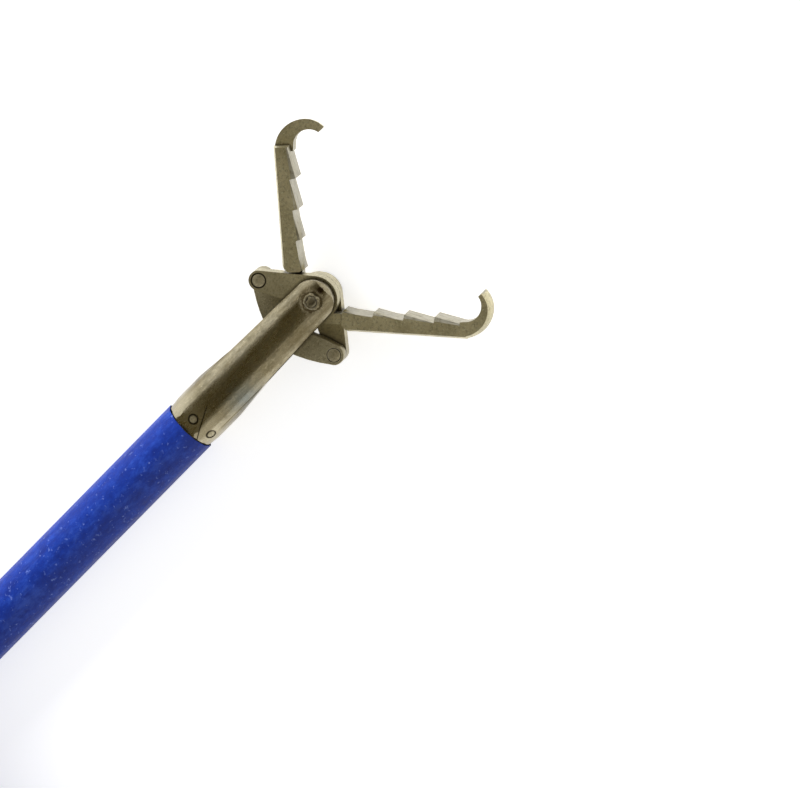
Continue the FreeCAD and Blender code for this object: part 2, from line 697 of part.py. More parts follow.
def make_handle_barrel():
    """Slotted barrel with a threaded spigot in front and a stop collar behind."""
    collar_front = barrel_back - COLLAR_LENGTH
    body = revolved([(-ferrule_back, 0), (-ferrule_back, SEAT_RADIUS), (-nose_back, SEAT_RADIUS),
                     (-nose_back, BARREL_RADIUS), (-collar_front, BARREL_RADIUS),
                     (-collar_front, COLLAR_RADIUS), (-barrel_back + COLLAR_EDGE, COLLAR_RADIUS),
                     (-barrel_back, COLLAR_RADIUS - COLLAR_EDGE), (-barrel_back, 0)])
    body = body.cut(around_x(BARREL_BORE, 0, -barrel_back - CUT_MARGIN))
    half = BARREL_SLOT_WIDTH / 2
    slot_back = slot_front + BARREL_SLOT_LENGTH
    slot = outline(
        Vector(-slot_front - half, -half, 0),
        (Vector(-slot_front, 0, 0), Vector(-slot_front - half, half, 0)),
        Vector(-slot_back + half, half, 0),
        (Vector(-slot_back, 0, 0), Vector(-slot_back + half, -half, 0)),
    )
    return body.cut(slab(slot, -2 * BARREL_RADIUS, 2 * BARREL_RADIUS))


def make_guide_bush():
    front = ferrule_back + BUSH_SETBACK
    return tube(BARREL_BORE, HYPOTUBE_RADIUS + ROD_BORE_CLEARANCE, -front, -front - BUSH_LENGTH)


def make_thumb_ring():
    """Flat ring for the thumb, glued into the back of the barrel."""
    outer = RING_HOLE_RADIUS + RING_BAND
    half = RING_THICKNESS / 2
    centre = Vector(-ring_centre, 0, 0)
    band = pin(outer, -half, half, centre).cut(pin(RING_HOLE_RADIUS, -half, half, centre))
    neck_end = ring_centre - RING_HOLE_RADIUS - RING_BAND / 2
    neck = block(-barrel_back, -neck_end, RING_NECK_HALF_WIDTH, -RING_NECK_HALF_HEIGHT,
                 RING_NECK_HALF_HEIGHT)
    plug = around_x(BARREL_BORE, -barrel_back + RING_PLUG_LENGTH, -barrel_back)
    return fused(band, neck, plug)


# Spool and wire clamp

def spool_outline():
    """Spool seen from above: two rims with a round finger saddle on each side between them."""
    front = -spool_front
    back = -spool_front - SPOOL_LENGTH
    half = SPOOL_WIDTH / 2
    waist = SPOOL_WAIST / 2
    return outline(
        Vector(front, -half, 0),
        Vector(front, half, 0),
        Vector(front - SPOOL_RIM, half, 0),
        (Vector(-spool_middle, waist, 0), Vector(back + SPOOL_RIM, half, 0)),
        Vector(back, half, 0),
        Vector(back, -half, 0),
        Vector(back + SPOOL_RIM, -half, 0),
        (Vector(-spool_middle, -waist, 0), Vector(front - SPOOL_RIM, -half, 0)),
    )


def make_spool():
    body = slab(spool_outline(), -SPOOL_HALF_HEIGHT, SPOOL_HALF_HEIGHT)
    rims = [edge for edge in body.Edges
            if abs(edge.BoundBox.ZMin - edge.BoundBox.ZMax) < 1e-6]
    body = body.makeChamfer(SPOOL_CHAMFER, rims)
    body = body.cut(around_x(BARREL_RADIUS + SPOOL_CLEARANCE, 0, -barrel_back))
    pocket = block(-block_front, -block_front - BLOCK_LENGTH,
                   BARREL_SLOT_WIDTH / 2 - BLOCK_SIDE_CLEARANCE, -BLOCK_HALF_HEIGHT,
                   BLOCK_HALF_HEIGHT)
    return body.cut(pocket)


def make_spool_halves():
    body = make_spool()
    room = 2 * SPOOL_LENGTH + spool_middle
    upper = body.common(block(0, -room, SPOOL_WIDTH, 0, 2 * SPOOL_HALF_HEIGHT))
    lower = body.common(block(0, -room, SPOOL_WIDTH, -2 * SPOOL_HALF_HEIGHT, 0))
    return upper, lower


def make_wire_clamp_block():
    half_width = BARREL_SLOT_WIDTH / 2 - BLOCK_SIDE_CLEARANCE
    body = block(-block_front, -block_front - BLOCK_LENGTH, half_width, -BLOCK_HALF_HEIGHT,
                 BLOCK_HALF_HEIGHT)
    body = body.cut(around_x(HYPOTUBE_RADIUS, 0, -barrel_back))
    return body.cut(pin(CLAMP_SCREW_RADIUS, 0, 2 * BLOCK_HALF_HEIGHT,
                        Vector(-spool_middle, 0, 0)))


def make_clamp_screw():
    """Grub screw that bears on the hypotube."""
    place = Vector(-spool_middle, 0, 0)
    top = HYPOTUBE_RADIUS + CLAMP_SCREW_LENGTH
    screw = pin(CLAMP_SCREW_RADIUS, CLAMP_SCREW_START, top, place)
    screw = screw.cut(around_x(HYPOTUBE_RADIUS, 0, -barrel_back))
    return screw.cut(pin(CLAMP_SOCKET_RADIUS, top - CLAMP_SOCKET_DEPTH, top + CUT_MARGIN, place))


def make_hypotube():
    front = ferrule_back + HYPOTUBE_FRONT - BUSH_SETBACK
    back = block_front + BLOCK_LENGTH
    body = around_x(HYPOTUBE_RADIUS, -front, -back)
    return body.cut(around_x(WIRE_RADIUS, 0, -front - WIRE_IN_HYPOTUBE))


def make_proximal_wire():
    front = sheath_end + PROXIMAL_WIRE_FRONT
    back = ferrule_back + HYPOTUBE_FRONT - BUSH_SETBACK + WIRE_IN_HYPOTUBE
    return around_x(WIRE_RADIUS, -front, -back)


def build():
    """Every node of the forceps by name."""
    jaw = make_jaw()
    tail_pin = make_tail_pin()
    spool_top, spool_bottom = make_spool_halves()
    return {
        "clevis": make_clevis(),
        "weld_plugs": make_weld_plugs(),
        "pivot_pin": make_pivot_pin(),
        "jaw_upper": placed_at_pivot(jaw, -JAW_SWING),
        "jaw_lower": placed_at_pivot(turned_over(jaw), JAW_SWING),
        "tail_pin_upper": placed_at_pivot(tail_pin, -JAW_SWING),
        "tail_pin_lower": placed_at_pivot(turned_over(tail_pin), JAW_SWING),
        "link_upper": placed_link(make_link(OPEN_PIVOT_CLEARANCE), True),
        "link_lower": placed_link(make_link(RUNNING_CLEARANCE), False),
        "drive_rod": placed_drive(make_drive_rod()),
        "drive_pin": placed_drive(pin(DRIVE_PIN_RADIUS, -layer_high, layer_high)),
        "drive_wire_distal": placed_drive(make_distal_wire()),
        "coil_ferrule": make_coil_ferrule(),
        "spring_coil": make_spring_coil(),
        "sheath_tip_run": make_sheath_tip_run(),
        "sheath_hank": make_sheath_hank(),
        "hank_tie": make_hank_tie(),
        "sheath_handle_run": make_sheath_handle_run(),
        "strain_relief": on_handle(make_strain_relief()),
        "sheath_ferrule": on_handle(make_sheath_ferrule()),
        "nose_cap": on_handle(make_nose_cap()),
        "handle_barrel": on_handle(make_handle_barrel()),
        "guide_bush": on_handle(make_guide_bush()),
        "thumb_ring": on_handle(make_thumb_ring()),
        "spool_top": on_handle(spool_top),
        "spool_bottom": on_handle(spool_bottom),
        "wire_clamp_block": on_handle(make_wire_clamp_block()),
        "clamp_screw": on_handle(make_clamp_screw()),
        "hypotube": on_handle(make_hypotube()),
        "drive_wire_proximal": on_handle(make_proximal_wire()),
    }


def sheath_length():
    """Length of the sheath along its middle, with its eleven and a half turns in the hank."""
    inward = list(range(HANK_COLUMNS))
    columns = list(reversed(inward)) + (HANK_LAYERS - 1) * inward
    radii = [HANK_FOLD_RADIUS - HANK_PITCH * column for column in columns]
    folds = sum(math.pi * (here + (here + after) / 2) for here, after in zip(radii, radii[1:]))
    straights = (2 * len(columns) - 1) * HANK_STRAIGHT
    ends = -hank_front - SHEATH_END_GAP + HANDLE_FROM_BASE + sheath_end + hank_back
    return folds + straights + ends


os.makedirs("parts", exist_ok=True)
for name, shape in build().items():
    shape.exportStep("parts/" + name + ".step")
    box = shape.BoundBox
    print("%-20s solids %d valid %s volume %.4f  x %.3f %.3f  y %.3f %.3f  z %.3f %.3f" % (
        name, len(shape.Solids), shape.isValid(), shape.Volume, box.XMin, box.XMax, box.YMin,
        box.YMax, box.ZMin, box.ZMax))
print("wire travel %.4f, tail turn open %.3f, closed %.3f" % (
    wire_travel, open_tail_turn, closed_tail_turn))
print("sheath length %.1f, fold radii %.2f to %.2f" % (
    sheath_length(), HANK_FOLD_RADIUS - HANK_PITCH * (HANK_COLUMNS - 1), HANK_FOLD_RADIUS))
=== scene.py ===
"""Flexible grasping forceps: the looks, laid over the CAD frame.

Metres, +X towards the jaws, +Z along the jaw pivot, and the sheath ends at the origin.
"""
import math

import bpy
from mathutils import Matrix, Vector


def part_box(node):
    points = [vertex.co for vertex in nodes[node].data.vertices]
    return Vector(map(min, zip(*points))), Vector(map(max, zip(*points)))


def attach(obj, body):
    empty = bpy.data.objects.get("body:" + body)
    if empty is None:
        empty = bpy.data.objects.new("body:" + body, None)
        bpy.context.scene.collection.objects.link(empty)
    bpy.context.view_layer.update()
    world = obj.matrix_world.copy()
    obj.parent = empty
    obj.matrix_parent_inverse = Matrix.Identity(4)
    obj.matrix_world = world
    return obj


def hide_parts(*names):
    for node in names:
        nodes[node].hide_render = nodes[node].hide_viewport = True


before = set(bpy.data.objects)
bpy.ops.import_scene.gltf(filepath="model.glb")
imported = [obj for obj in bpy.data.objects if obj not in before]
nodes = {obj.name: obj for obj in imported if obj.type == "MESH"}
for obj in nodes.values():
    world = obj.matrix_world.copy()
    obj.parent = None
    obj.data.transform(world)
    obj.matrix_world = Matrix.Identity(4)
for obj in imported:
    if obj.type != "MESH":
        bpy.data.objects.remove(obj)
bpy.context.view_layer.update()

# Camera. The photograph looks down the jaw pivot from a little behind the jaws, with a long lens,
# and is rolled so that the sheath comes in from the lower left.
view_tilt = math.radians(15.5)
view_roll = math.radians(45.2)
tool_ahead = Vector((math.cos(view_tilt), 0, -math.sin(view_tilt)))
tool_across = Vector((0, 1, 0))
towards_camera = Vector((math.sin(view_tilt), 0, math.cos(view_tilt)))
picture_right = tool_ahead * math.cos(view_roll) - tool_across * math.sin(view_roll)
picture_up = tool_ahead * math.sin(view_roll) + tool_across * math.cos(view_roll)
aim = Vector((0.006563, -0.005096, -0.001820))
distance = 0.3
picture_width = 0.032258
camera_data = bpy.data.cameras.new("camera")
camera_data.lens = camera_data.sensor_width * distance / picture_width
camera_data.clip_start = 0.001
camera = bpy.data.objects.new("camera", camera_data)
turn = Matrix((picture_right, picture_up, towards_camera)).transposed()
camera.matrix_world = Matrix.Translation(aim + towards_camera * distance) @ turn.to_4x4()
bpy.context.scene.collection.objects.link(camera)
bpy.context.scene.camera = camera
bpy.context.scene.view_settings.view_transform = "Standard"

# Sheath. A long close-wound coil with a smooth blue coating. Its unused length is folded into a neat
# hank of eleven and a half turns, from the inside out and back in, and it runs on into the handle. The
# folds arch over the strand that enters under them in front and over the one that leaves behind. The
# passes give each turn's column, counted inwards, and its layer, counted upwards.
sheath_across = 0.0023
sheath_gap = 0.00004
strand_pitch = 0.0024
fold_radius = 0.0142
hank_front = -0.0305
hank_back = -0.0651
strap_middle = -0.0478
strap_lift = 0.00045
hump_foot = 0.0105
hump_top = 0.0035
arch_lift = 0.0025
arch_half_width = 75
handle_height = 0.0048
half_step = 7.5
fold_steps = [half_step * odd for odd in range(1, 24, 2)]
spread = 1 / math.cos(math.radians(half_step))
shift_width = 60
shift_lag = 12
shift_delay = 0.5
top_layer = 2
passes = [(3, 0), (2, 0), (1, 0), (0, 0), (0, 1), (0, 2), (1, 2), (1, 1), (2, 1), (2, 2), (3, 2), (3, 1)]


def strand(column, layer):
    """Distance of a strand from the middle of the folds, and its height."""
    return fold_radius - strand_pitch * column, strand_pitch * layer


def over_strap(y, z, heading):
    """Points of a straight strand that humps over the strap under the hank."""
    reach = (hump_foot, hump_top, -hump_top, -hump_foot)
    rise = (0, strap_lift, strap_lift, 0)
    return [(strap_middle + heading * r, y, z + up) for r, up in zip(reach, rise)]


def arched(step):
    """Height of a fold over the strand that it crosses, highest halfway round."""
    away = min(abs(step - 90) / arch_half_width, 1)
    return arch_lift * (1 + math.cos(math.pi * away)) / 2


inner_radius = strand(3, 0)[0]
route = [(-sheath_gap, 0, 0), (-0.009, 0, 0), (-0.018, 0, 0), (-0.0285, 0, 0), (-0.0345, -inner_radius, 0)]
for index, (column, layer) in enumerate(passes[:-1]):
    radius, height = strand(column, layer)
    if index:
        route.append((hank_front, -radius, height))
    route += over_strap(-radius, height, 1)[0 if index else 1:]
    route.append((hank_back, -radius, height))
    for step in fold_steps:
        angle = math.radians(step)
        lift = arched(step) if layer == top_layer else 0
        route.append((hank_back - radius * spread * math.sin(angle), -radius * spread * math.cos(angle),
                      height + lift))
    route.append((hank_back, radius, height))
    route += over_strap(radius, height, -1)
    route.append((hank_front, radius, height))
    next_radius, next_height = strand(*passes[index + 1])
    shift_start = shift_delay + shift_lag * (len(passes) - 2 - index)
    for step in fold_steps:
        angle = math.radians(step)
        share = min(max((step - shift_start) / shift_width, 0), 1)
        reach = (radius + (next_radius - radius) * share) * spread
        route.append((hank_front + reach * math.sin(angle), reach * math.cos(angle),
                      height + (next_height - height) * share + arched(step)))
leaving_height = strand(*passes[-1])[1]
route += [(hank_front, -inner_radius, leaving_height), (-0.042, -inner_radius, leaving_height),
          (-0.0485, -0.0032, leaving_height), (-0.0565, 0, handle_height), (-0.068, 0, handle_height),
          (-0.085, 0, handle_height), (-0.109, 0, handle_height)]

sheath_line = bpy.data.curves.new("sheath", "CURVE")
sheath_line.dimensions = "3D"
sheath_line.bevel_depth = sheath_across / 2
sheath_line.bevel_resolution = 4
sheath_line.resolution_u = 3
sheath_line.use_fill_caps = False
spline = sheath_line.splines.new("NURBS")
spline.points.add(len(route) - 1)
for point, place in zip(spline.points, route):
    point.co = (*place, 1)
spline.order_u = 3
spline.use_endpoint_u = True
sheath = bpy.data.objects.new("sheath", sheath_line)
bpy.context.scene.collection.objects.link(sheath)


def new_material(name):
    """An empty node material: its tree, its shader and a coordinate socket counted in millimetres."""
    material = bpy.data.materials.new(name)
    material.use_nodes = True
    tree = material.node_tree
    shader = tree.nodes["Principled BSDF"]
    place = tree.nodes.new("ShaderNodeTexCoord")
    scale = tree.nodes.new("ShaderNodeMapping")
    scale.inputs["Scale"].default_value = (1000, 1000, 1000)
    tree.links.new(place.outputs["Object"], scale.inputs["Vector"])
    return material, tree, shader, scale.outputs["Vector"]


def stretched(tree, vector, scale):
    """The millimetre coordinates, stretched for a brushed or drawn grain."""
    mapping = tree.nodes.new("ShaderNodeMapping")
    mapping.inputs["Scale"].default_value = scale
    tree.links.new(vector, mapping.inputs["Vector"])
    return mapping.outputs["Vector"]


def noise(tree, vector, scale, detail=4, roughness=0.55):
    """A fractal noise of so many cycles a millimetre."""
    node = tree.nodes.new("ShaderNodeTexNoise")
    node.inputs["Scale"].default_value = scale
    node.inputs["Detail"].default_value = detail
    node.inputs["Roughness"].default_value = roughness
    tree.links.new(vector, node.inputs["Vector"])
    return node.outputs["Fac"]


def ramp(tree, value, stops):
    """Colours, or greys given as one number, laid along a value."""
    node = tree.nodes.new("ShaderNodeValToRGB")
    bar = node.color_ramp
    while len(bar.elements) < len(stops):
        bar.elements.new(0.5)
    for element, (place, colour) in zip(bar.elements, stops):
        element.position = place
        rgb = (colour, colour, colour) if isinstance(colour, (int, float)) else colour
        element.color = (*rgb, 1)
    tree.links.new(value, node.inputs["Fac"])
    return node.outputs["Color"]


def mixed(tree, first, second, share):
    """Two colours mixed. Each of the three may be a socket or a plain value."""
    node = tree.nodes.new("ShaderNodeMix")
    node.data_type = "RGBA"
    sockets = (node.inputs[0], node.inputs[6], node.inputs[7])
    for socket, given in zip(sockets, (share, first, second)):
        if isinstance(given, bpy.types.NodeSocket):
            tree.links.new(given, socket)
        elif isinstance(given, tuple):
            socket.default_value = (*given, 1)
        else:
            socket.default_value = given
    return node.outputs[2]


def bumped(tree, shader, height, depth, strength=1.0):
    """Relief of so many metres from a height, on top of any relief the shader has."""
    node = tree.nodes.new("ShaderNodeBump")
    node.inputs["Distance"].default_value = depth
    node.inputs["Strength"].default_value = strength
    tree.links.new(height, node.inputs["Height"])
    if shader.inputs["Normal"].links:
        tree.links.new(shader.inputs["Normal"].links[0].from_socket, node.inputs["Normal"])
    tree.links.new(node.outputs["Normal"], shader.inputs["Normal"])


blue_coating, tree, shader, place = new_material("blue_coating")
mottle = noise(tree, stretched(tree, place, (0.6, 1, 1)), 2.6, 5, 0.7)
pores = noise(tree, place, 5.5, 3, 0.6)
blue = ramp(tree, mottle, [(0.34, (0.0030, 0.024, 0.255)), (0.52, (0.0055, 0.038, 0.350)),
                           (0.68, (0.0180, 0.070, 0.470))])
scuffs = noise(tree, stretched(tree, place, (0.5, 1, 1)), 1.1, 4, 0.75)
blue = mixed(tree, blue, (0.040, 0.105, 0.520), ramp(tree, scuffs, [(0.54, 0.0), (0.70, 0.55)]))
blue = mixed(tree, blue, (0.160, 0.240, 0.680), ramp(tree, pores, [(0.62, 0.0), (0.70, 0.7)]))
tree.links.new(blue, shader.inputs["Base Color"])
tree.links.new(ramp(tree, mottle, [(0.3, 0.46), (0.8, 0.60)]), shader.inputs["Roughness"])
turns = tree.nodes.new("ShaderNodeTexWave")
turns.bands_direction = "X"
turns.wave_profile = "SIN"
turns.inputs["Scale"].default_value = 0.68
turns.inputs["Distortion"].default_value = 0.6
turns.inputs["Detail"].default_value = 1
tree.links.new(place, turns.inputs["Vector"])
shader.inputs["Specular IOR Level"].default_value = 0.35
bumped(tree, shader, turns.outputs["Fac"], 0.000008, 0.5)
bumped(tree, shader, mottle, 0.00006, 0.7)
bumped(tree, shader, pores, 0.000008, 0.6)
sheath.data.materials.append(blue_coating)
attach(sheath, "frame")
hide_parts("sheath_tip_run", "sheath_hank", "sheath_handle_run")

# Strap. A black hook and loop strap round the waist of the hank: two stitched edges, a looped pile
# between them, and its free end pressed down on top.


def alone(piece):
    """Leaves one piece selected and active."""
    bpy.ops.object.select_all(action="DESELECT")
    piece.select_set(True)
    bpy.context.view_layer.objects.active = piece


def fresh_copy(name, source):
    """A merged and cleaned copy of a CAD node's mesh, selected alone."""
    piece = bpy.data.objects.new(name, nodes[source].data.copy())
    bpy.context.scene.collection.objects.link(piece)
    alone(piece)
    bpy.ops.object.mode_set(mode="EDIT")
    bpy.ops.mesh.select_all(action="SELECT")
    bpy.ops.mesh.remove_doubles(threshold=5e-7)
    bpy.ops.mesh.dissolve_limited(angle_limit=math.radians(0.1))
    bpy.ops.mesh.normals_make_consistent(inside=False)
    bpy.ops.object.mode_set(mode="OBJECT")
    return piece


def shaded(piece):
    """Smooth over curved faces and level over flat ones."""
    alone(piece)
    bpy.ops.object.shade_smooth_by_angle(angle=math.radians(40))
    level = piece.modifiers.new("level", "WEIGHTED_NORMAL")
    level.keep_sharp = True
    bpy.ops.object.modifier_apply(modifier="level")
    return piece


def softened(piece, width, segments=2):
    """Sharp edges rounded to a width in metres."""
    alone(piece)
    bevel = piece.modifiers.new("edges", "BEVEL")
    bevel.width = width
    bevel.segments = segments
    bevel.limit_method = "ANGLE"
    bevel.angle_limit = math.radians(30)
    bpy.ops.object.modifier_apply(modifier="edges")
    return shaded(piece)


def finished(piece, material, slot, body, *stands_for):
    """Material, body and the nodes that the piece stands for; the slot argument is not used."""
    piece.data.materials.clear()
    piece.data.materials.append(material)
    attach(piece, body)
    if stands_for:
        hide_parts(*stands_for)


strap = softened(fresh_copy("strap", "hank_tie"), 0.00012, 2)
strap_cloth, tree, shader, place = new_material("strap_cloth")
loops = tree.nodes.new("ShaderNodeTexVoronoi")
loops.inputs["Scale"].default_value = 4.5
tree.links.new(place, loops.inputs["Vector"])
fuzz = noise(tree, place, 9, 4)
tree.links.new(mixed(tree, ramp(tree, loops.outputs["Distance"], [(0, 0.035), (0.6, 0.008)]),
                     ramp(tree, fuzz, [(0.3, 0.004), (0.8, 0.05)]), 0.5), shader.inputs["Base Color"])
shader.inputs["Roughness"].default_value = 0.92
shader.inputs["Sheen Weight"].default_value = 0.3
bumped(tree, shader, loops.outputs["Distance"], 0.00012, 0.8)
bumped(tree, shader, fuzz, 0.00006, 0.7)
finished(strap, strap_cloth, "black_strap", "frame", "hank_tie")

# Clevis. A turned stainless tube, slotted into two ears for the jaws, with a pressed flat at its back
# where it is crimped. Its surface is satin with handling marks and stains from heat. A painted highlight
# lightens its back end, a painted bluish reflection lies on its side, and a painted dark reflection
# sits on the rounded tip of the upper ear.
steel_light = (0.430, 0.385, 0.270)
steel_mid = (0.335, 0.290, 0.180)
steel_warm = (0.170, 0.130, 0.060)
reflected_blue = (0.170, 0.215, 0.230)
steel_dark_and_shade = (0.050, 0.040, 0.022)
corner_shade_reach = 0.00022


def arithmetic(tree, operation, first, second=0.0):
    """One sum on two values, each a socket or a number."""
    node = tree.nodes.new("ShaderNodeMath")
    node.operation = operation
    for socket, given in zip(node.inputs, (first, second)):
        if isinstance(given, bpy.types.NodeSocket):
            tree.links.new(given, socket)
        else:
            socket.default_value = given
    return node.outputs[0]


def distance_from(tree, place, centre, counted=(1, 1, 1)):
    """Millimetres from a point, or from a line along an axis that isn't counted."""
    offset = tree.nodes.new("ShaderNodeVectorMath")
    offset.operation = "SUBTRACT"
    offset.inputs[1].default_value = centre
    kept = tree.nodes.new("ShaderNodeVectorMath")
    kept.operation = "MULTIPLY"
    kept.inputs[1].default_value = counted
    size = tree.nodes.new("ShaderNodeVectorMath")
    size.operation = "LENGTH"
    tree.links.new(place, offset.inputs[0])
    tree.links.new(offset.outputs[0], kept.inputs[0])
    tree.links.new(kept.outputs[0], size.inputs[0])
    return size.outputs["Value"]


def ring_mask(tree, away, radius, width):
    """White in a ring of this radius and width round a point, soft at both sides."""
    return ramp(tree, away, [(radius - width, 0.0), (radius - width / 2, 1.0), (radius + width / 2, 1.0),
                             (radius + width, 0.0)])


def painted_corner_shade(tree, colour, reach, dark):
    """A colour darkened in corners narrower than a reach in metres: painted shade."""
    corner = tree.nodes.new("ShaderNodeAmbientOcclusion")
    corner.samples = 8
    corner.inputs["Distance"].default_value = reach
    return mixed(tree, dark, colour, ramp(tree, corner.outputs["AO"], [(0.45, 0.0), (0.85, 1.0)]))


def satin_steel(name, grain, light, dark, rough, stretch=(1, 1, 1), relief=0.000004, metal=1.0):
    """Satin stainless steel: cloudy colour, a fine grain, dark specks, an uneven polish and painted shade in
    narrow corners.
    """
    material, tree, shader, place = new_material(name)
    cloud = noise(tree, place, 0.9, 4)
    fine = noise(tree, stretched(tree, place, stretch), grain, 5, 0.65)
    specks = noise(tree, place, grain * 1.7, 3, 0.6)
    colour = ramp(tree, cloud, [(0.3, dark), (0.7, light)])
    colour = mixed(tree, colour, tuple(c * 0.45 for c in dark), ramp(tree, fine, [(0.48, 0.0), (0.74, 0.75)]))
    colour = mixed(tree, colour, tuple(min(c * 1.5, 0.9) for c in light),
                   ramp(tree, specks, [(0.56, 0.0), (0.72, 0.6)]))
    # Painted shade in narrow corners.
    colour = painted_corner_shade(tree, colour, corner_shade_reach, steel_dark_and_shade)
    tree.links.new(colour, shader.inputs["Base Color"])
    shader.inputs["Metallic"].default_value = metal
    tree.links.new(ramp(tree, fine, [(0.25, rough - 0.07), (0.75, rough + 0.10)]), shader.inputs["Roughness"])
    bumped(tree, shader, fine, relief, 0.8)
    return material, tree, shader, place, colour


def millimetres(node):
    """Middle of a CAD node's box."""
    low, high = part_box(node)
    return tuple((low + high) / 2 * 1000)


clevis = softened(fresh_copy("clevis_body", "clevis"), 0.00003, 3)
clevis_steel, tree, shader, place, colour = satin_steel(
    "clevis_steel", 6, steel_light, steel_mid, 0.27, (0.5, 1, 1), 0.000007)
stain = noise(tree, stretched(tree, place, (0.35, 1.4, 1.4)), 0.8, 4)
colour = mixed(tree, colour, steel_warm, ramp(tree, stain, [(0.50, 0.0), (0.66, 0.6)]))
drawn = noise(tree, stretched(tree, place, (0.12, 2.2, 2.2)), 3.0, 4)
colour = mixed(tree, colour, steel_warm, ramp(tree, drawn, [(0.52, 0.0), (0.68, 0.5)]))
# Painted reflection: a bluish patch on the clevis's side.
blue_reflection_spread = arithmetic(tree, "ADD", distance_from(tree, place, (2.7, -0.8, 0.8)), noise(tree, place, 1.4, 3))
colour = mixed(tree, colour, reflected_blue,
               ramp(tree, arithmetic(tree, "MULTIPLY", blue_reflection_spread, 0.5), [(0.3, 0.55), (0.8, 0.0)]))
weld_away = distance_from(tree, place, millimetres("pivot_pin"), (1, 1, 0))
weld_noise = noise(tree, place, 5, 4, 0.7)
weld = arithmetic(tree, "ADD", weld_away, arithmetic(tree, "MULTIPLY", weld_noise, 0.34))
colour = mixed(tree, colour, steel_dark_and_shade, ring_mask(tree, weld, 0.55, 0.07))
# Painted dark reflection on the rounded tip of the upper ear.
tip_reflection_away = distance_from(tree, place, (8.10, 0.07, 1.14))
tip_reflection_away = arithmetic(tree, "ADD", tip_reflection_away, arithmetic(tree, "MULTIPLY", weld_noise, 0.2))
colour = mixed(tree, colour, (0.050, 0.024, 0.016), ramp(tree, tip_reflection_away, [(0.20, 0.9), (0.27, 0.0)]))
# Painted highlight: lighter towards the clevis's back end.
back_highlight_axes = tree.nodes.new("ShaderNodeSeparateXYZ")
tree.links.new(place, back_highlight_axes.inputs["Vector"])
colour = mixed(tree, colour, (0.60, 0.54, 0.38),
               ramp(tree, arithmetic(tree, "MULTIPLY", back_highlight_axes.outputs["X"], 0.5), [(0.4, 0.5), (0.75, 0.0)]))
colour = mixed(tree, colour, steel_warm, ramp(tree, weld, [(0.52, 0.6), (0.8, 0.0)]))
plug_ring = 0.195
for centre in ((0.53, 0.087, 1.1), (0.53, -0.79, 0.70)):
    colour = mixed(tree, colour, steel_dark_and_shade,
                   ring_mask(tree, distance_from(tree, place, centre), plug_ring, 0.055))
crease = tree.nodes.new("ShaderNodeMapping")
crease.vector_type = "TEXTURE"
crease.inputs["Location"].default_value = (-0.05, -0.62, 0)
crease.inputs["Rotation"].default_value = (0, 0, math.radians(26))
tree.links.new(place, crease.inputs["Vector"])
beside = tree.nodes.new("ShaderNodeSeparateXYZ")
tree.links.new(crease.outputs["Vector"], beside.inputs["Vector"])
line = ramp(tree, arithmetic(tree, "ABSOLUTE", beside.outputs["Y"]), [(0.012, 1.0), (0.03, 0.0)])
line = mixed(tree, line, (0, 0, 0), ramp(tree, arithmetic(tree, "MULTIPLY", beside.outputs["X"], 0.5),
                                         [(0.74, 0.0), (0.8, 1.0)]))
line = mixed(tree, (0, 0, 0), line, ramp(tree, beside.outputs["Z"], [(0.3, 0.0), (0.4, 1.0)]))
colour = mixed(tree, colour, steel_dark_and_shade, line)
tree.links.new(colour, shader.inputs["Base Color"])
spatter = ramp(tree, weld_away, [(0.42, 1.0), (0.6, 0.0)])
bumped(tree, shader, mixed(tree, (0.5, 0.5, 0.5), weld_noise, spatter), 0.00012, 0.9)
finished(clevis, clevis_steel, "stainless_clevis", "frame", "clevis")

# Jaws. Two like jaws cut from plate and turned over, with saw teeth and a hooked tip, which cross on
# the pivot. Their cut sides are finely grained, and the tooth faces carry file marks under a darker
# painted shade, chosen by the way they face. The tails are painted darker as shade, with painted shade
# in a ring round each rivet.


def rivet_gap_shade(tree, place, colour):
    """Painted shade in a ring round each tail pin, only on the faces where y and z have the same sign."""
    side = tree.nodes.new("ShaderNodeSeparateXYZ")
    tree.links.new(place, side.inputs["Vector"])
    shaded_side = arithmetic(tree, "MULTIPLY", side.outputs["Y"], side.outputs["Z"])
    shaded_side = arithmetic(tree, "GREATER_THAN", shaded_side)
    for pin_node in ("tail_pin_upper", "tail_pin_lower"):
        away = distance_from(tree, place, millimetres(pin_node), (1, 1, 0))
        # Painted shade in a ring round the pin.
        ring_shade = mixed(tree, (0, 0, 0), ring_mask(tree, away, 0.29, 0.045), shaded_side)
        colour = mixed(tree, colour, steel_dark_and_shade, ring_shade)
    return colour


def darker_tails(tree, place, colour):
    """The tails behind the pivot in shade, with the gaps round their pins."""
    behind = tree.nodes.new("ShaderNodeSeparateXYZ")
    tree.links.new(place, behind.inputs["Vector"])
    shade = ramp(tree, arithmetic(tree, "MULTIPLY", behind.outputs["X"], 0.1), [(0.70, 0.35), (0.76, 0.0)])
    return rivet_gap_shade(tree, place, mixed(tree, colour, (0.20, 0.17, 0.10), shade))


jaw_steel, tree, shader, place, colour = satin_steel(
    "jaw_steel", 9, (0.760, 0.685, 0.440), (0.470, 0.415, 0.240), 0.33, (1, 1, 1), 0.000014, 0.8)
facing = tree.nodes.new("ShaderNodeTexCoord")
facing_parts = tree.nodes.new("ShaderNodeSeparateXYZ")
tree.links.new(facing.outputs["Normal"], facing_parts.inputs["Vector"])
place_parts = tree.nodes.new("ShaderNodeSeparateXYZ")
tree.links.new(place, place_parts.inputs["Vector"])
inward = arithmetic(tree, "MULTIPLY", facing_parts.outputs["Y"], place_parts.outputs["Y"])
file_marks = noise(tree, stretched(tree, place, (1, 1, 5)), 2.2, 4, 0.7)
